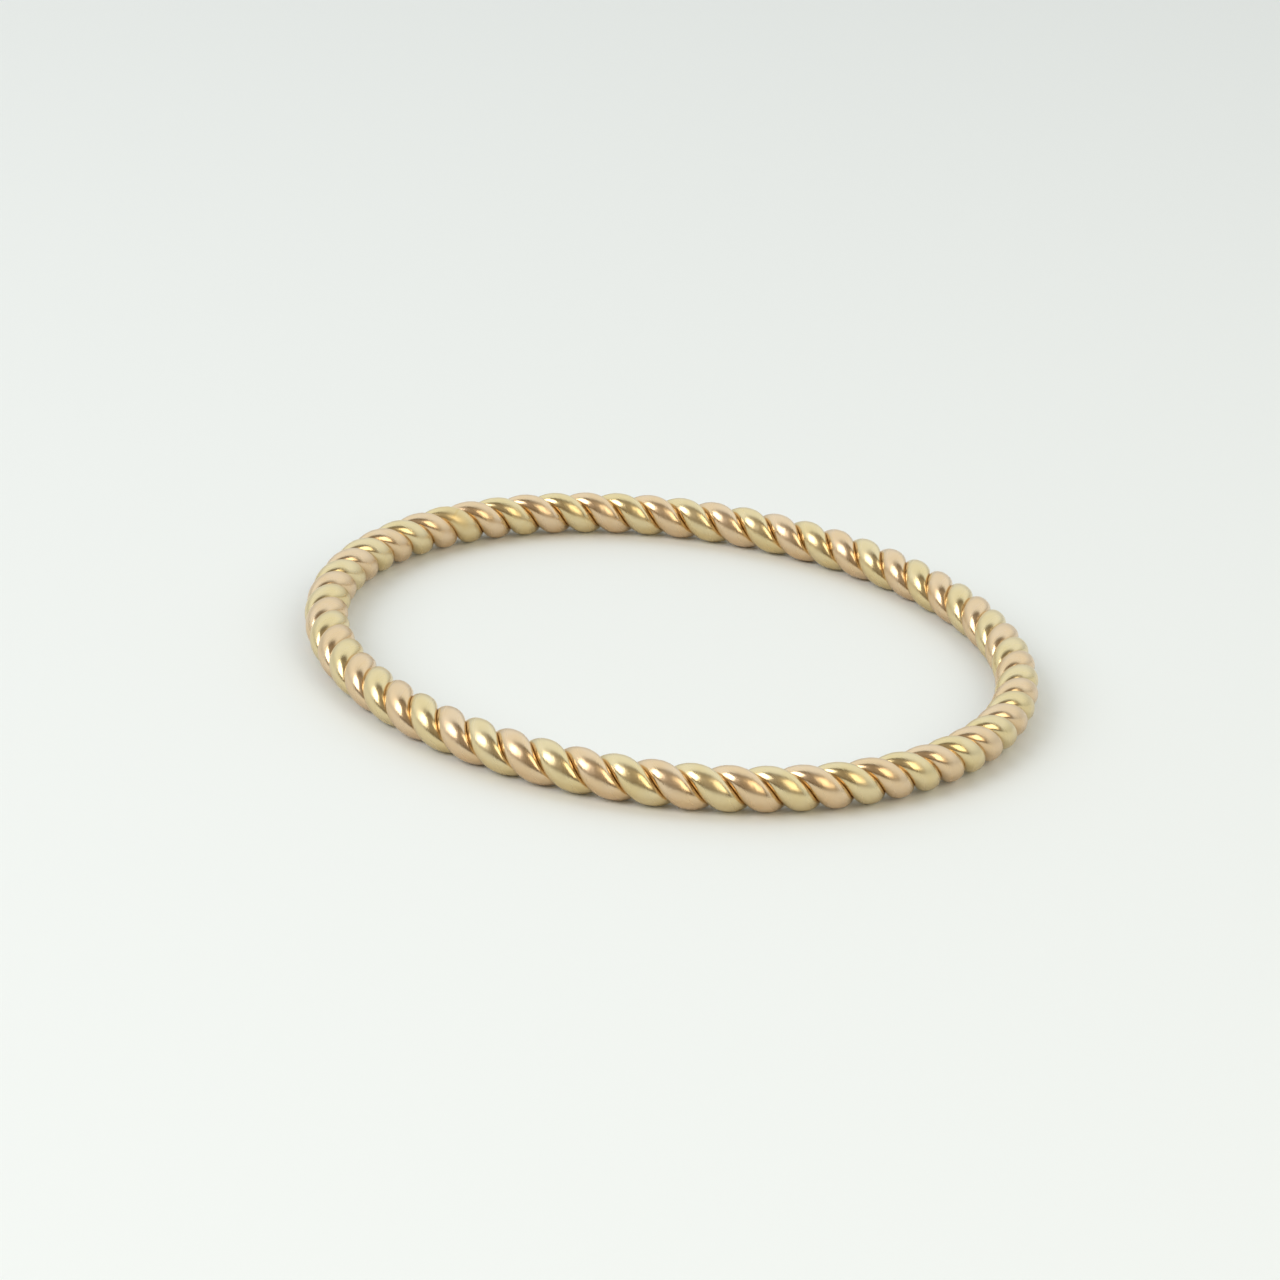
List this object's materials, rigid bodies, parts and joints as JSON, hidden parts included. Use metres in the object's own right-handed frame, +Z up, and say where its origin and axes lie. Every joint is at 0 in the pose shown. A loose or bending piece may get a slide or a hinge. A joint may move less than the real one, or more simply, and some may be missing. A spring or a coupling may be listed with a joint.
{
  "type": "twisted two-colour bangle bracelet",
  "caption": "Rigid closed bangle: yellow and rose gold round wires twisted together as a rope and bent into a ring that slips over the hand.",
  "frame": {"origin": "on the surface the bangle lies on, under the middle of the wrist opening", "axes": "+Z up along the axis of the ring, through the wrist opening; -Y towards the viewer; the soldered joint is at 133 degrees from +X towards +Y"},
  "size_m": [0.068, 0.068, 0.004],
  "materials": {
    "yellow_gold": "polished pale yellow gold with light wear",
    "rose_gold": "polished rose gold with light wear",
    "yellow_solder": "satin filed gold solder",
    "rose_solder": "satin filed gold solder"
  },
  "bodies": {
    "root": {"yellow_gold_wire": "yellow_gold", "rose_gold_wire": "rose_gold", "yellow_wire_solder": "yellow_solder", "rose_wire_solder": "rose_solder"}
  },
  "joints": []
}
